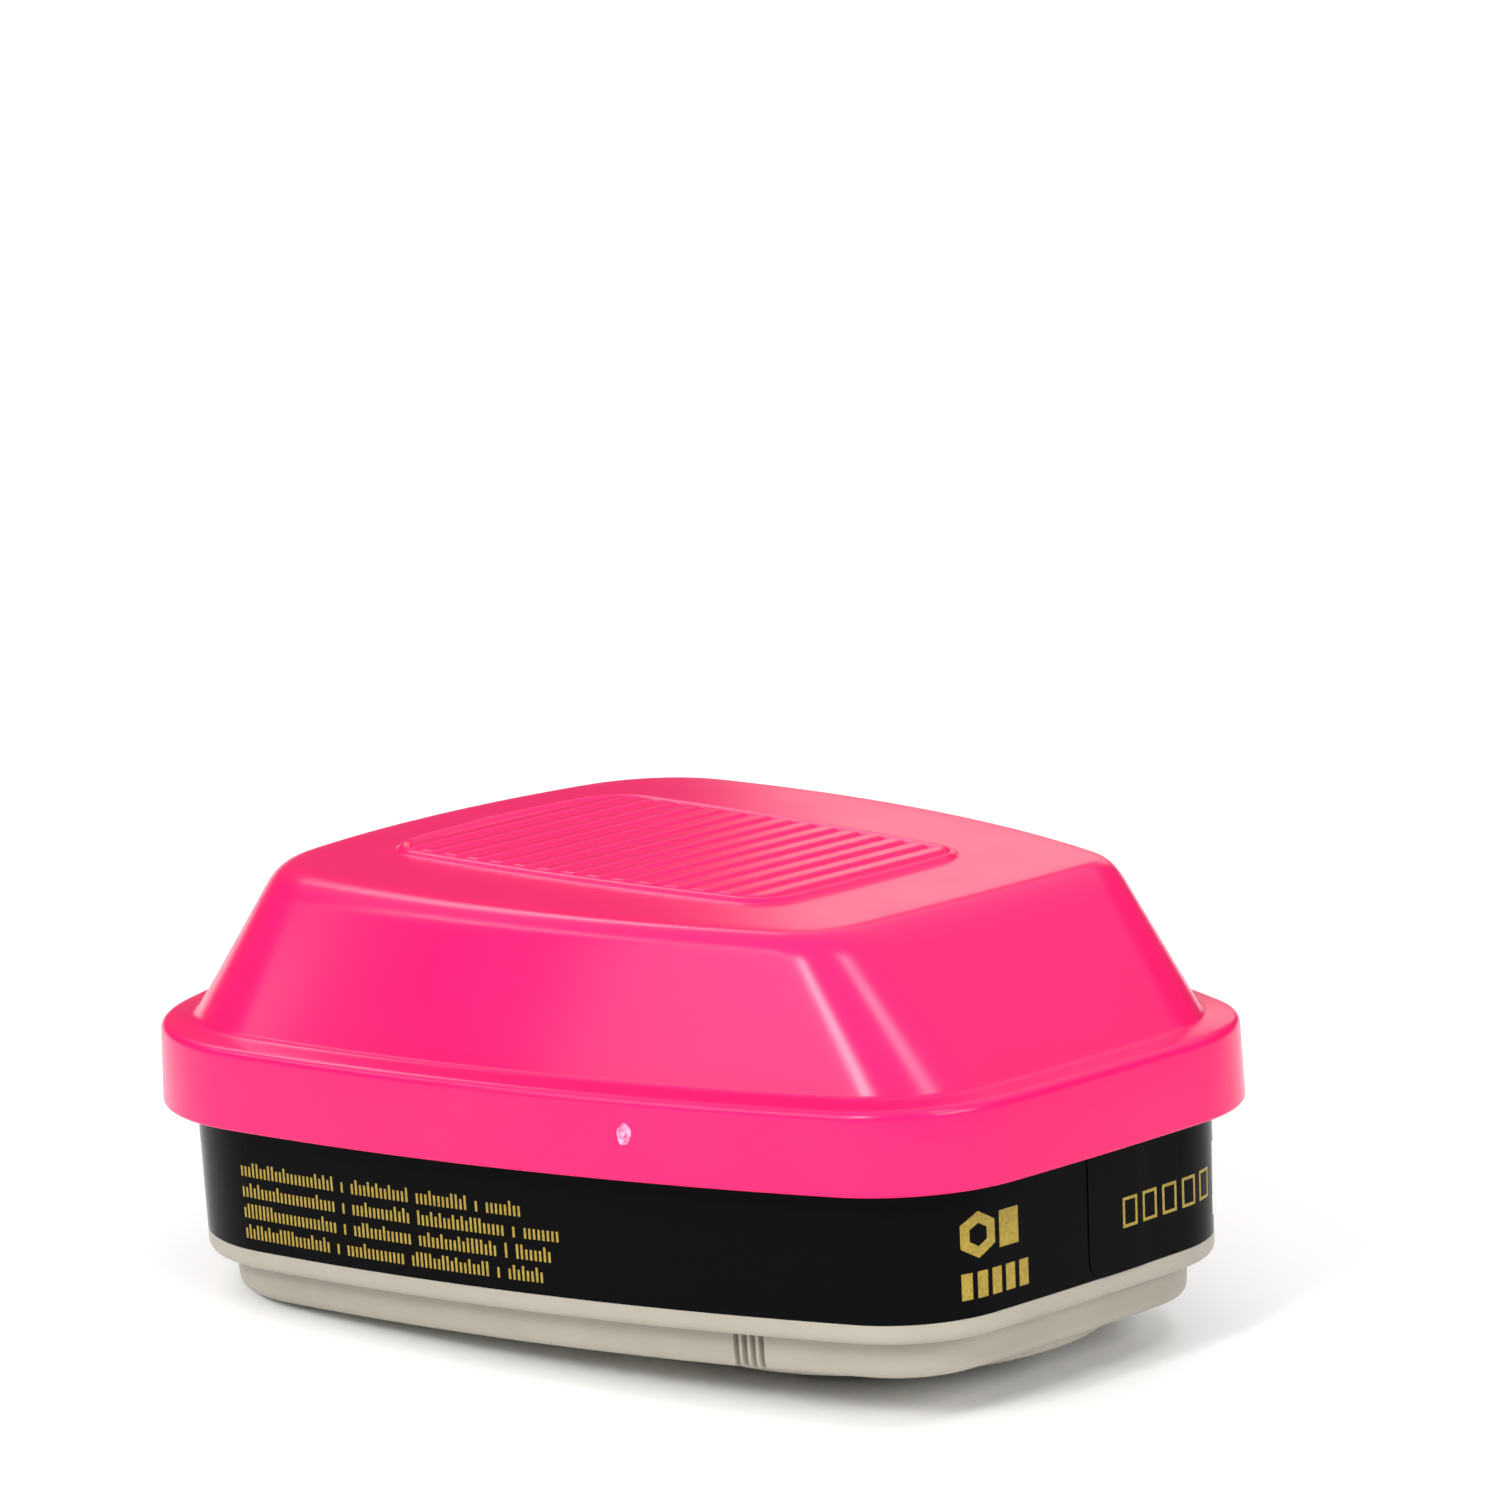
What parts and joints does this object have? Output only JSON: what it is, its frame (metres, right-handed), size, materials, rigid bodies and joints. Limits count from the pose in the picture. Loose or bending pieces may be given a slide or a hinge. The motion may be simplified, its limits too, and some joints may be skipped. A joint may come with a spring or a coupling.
{
  "type": "respirator cartridge",
  "caption": "Bayonet-mount respirator cartridge: beige canister of carbon with a black label, under a domed magenta cover over a pleated particulate filter.",
  "frame": {"origin": "centre of the bayonet port, in the plane of the sealing bead that meets the mask", "axes": "+Z out of the port's back towards the dome, so the cartridge stands dome up; +X along the long axis towards the wide end"},
  "size_m": [0.1082, 0.0872, 0.0462],
  "materials": {
    "magenta_plastic": "satin gloss",
    "frame_plastic": "satin",
    "pleat_media": "matt glass-fibre paper",
    "sealant": "smooth",
    "body_plastic": "satin",
    "scrim": "matt nonwoven",
    "carbon": "granular",
    "lid_plastic": "fine moulded grain",
    "ring_plastic": "satin",
    "label_film": "glossy film"
  },
  "bodies": {
    "root": {"filter_cover": "magenta_plastic", "filter_frame": "frame_plastic", "pleated_filter": "pleat_media", "filter_sealant": "sealant", "canister_body": "body_plastic", "inlet_scrim": "scrim", "carbon_bed": "carbon", "outlet_scrim": "scrim", "back_lid": "lid_plastic", "bayonet_ring": "ring_plastic", "label": "label_film"}
  },
  "joints": []
}
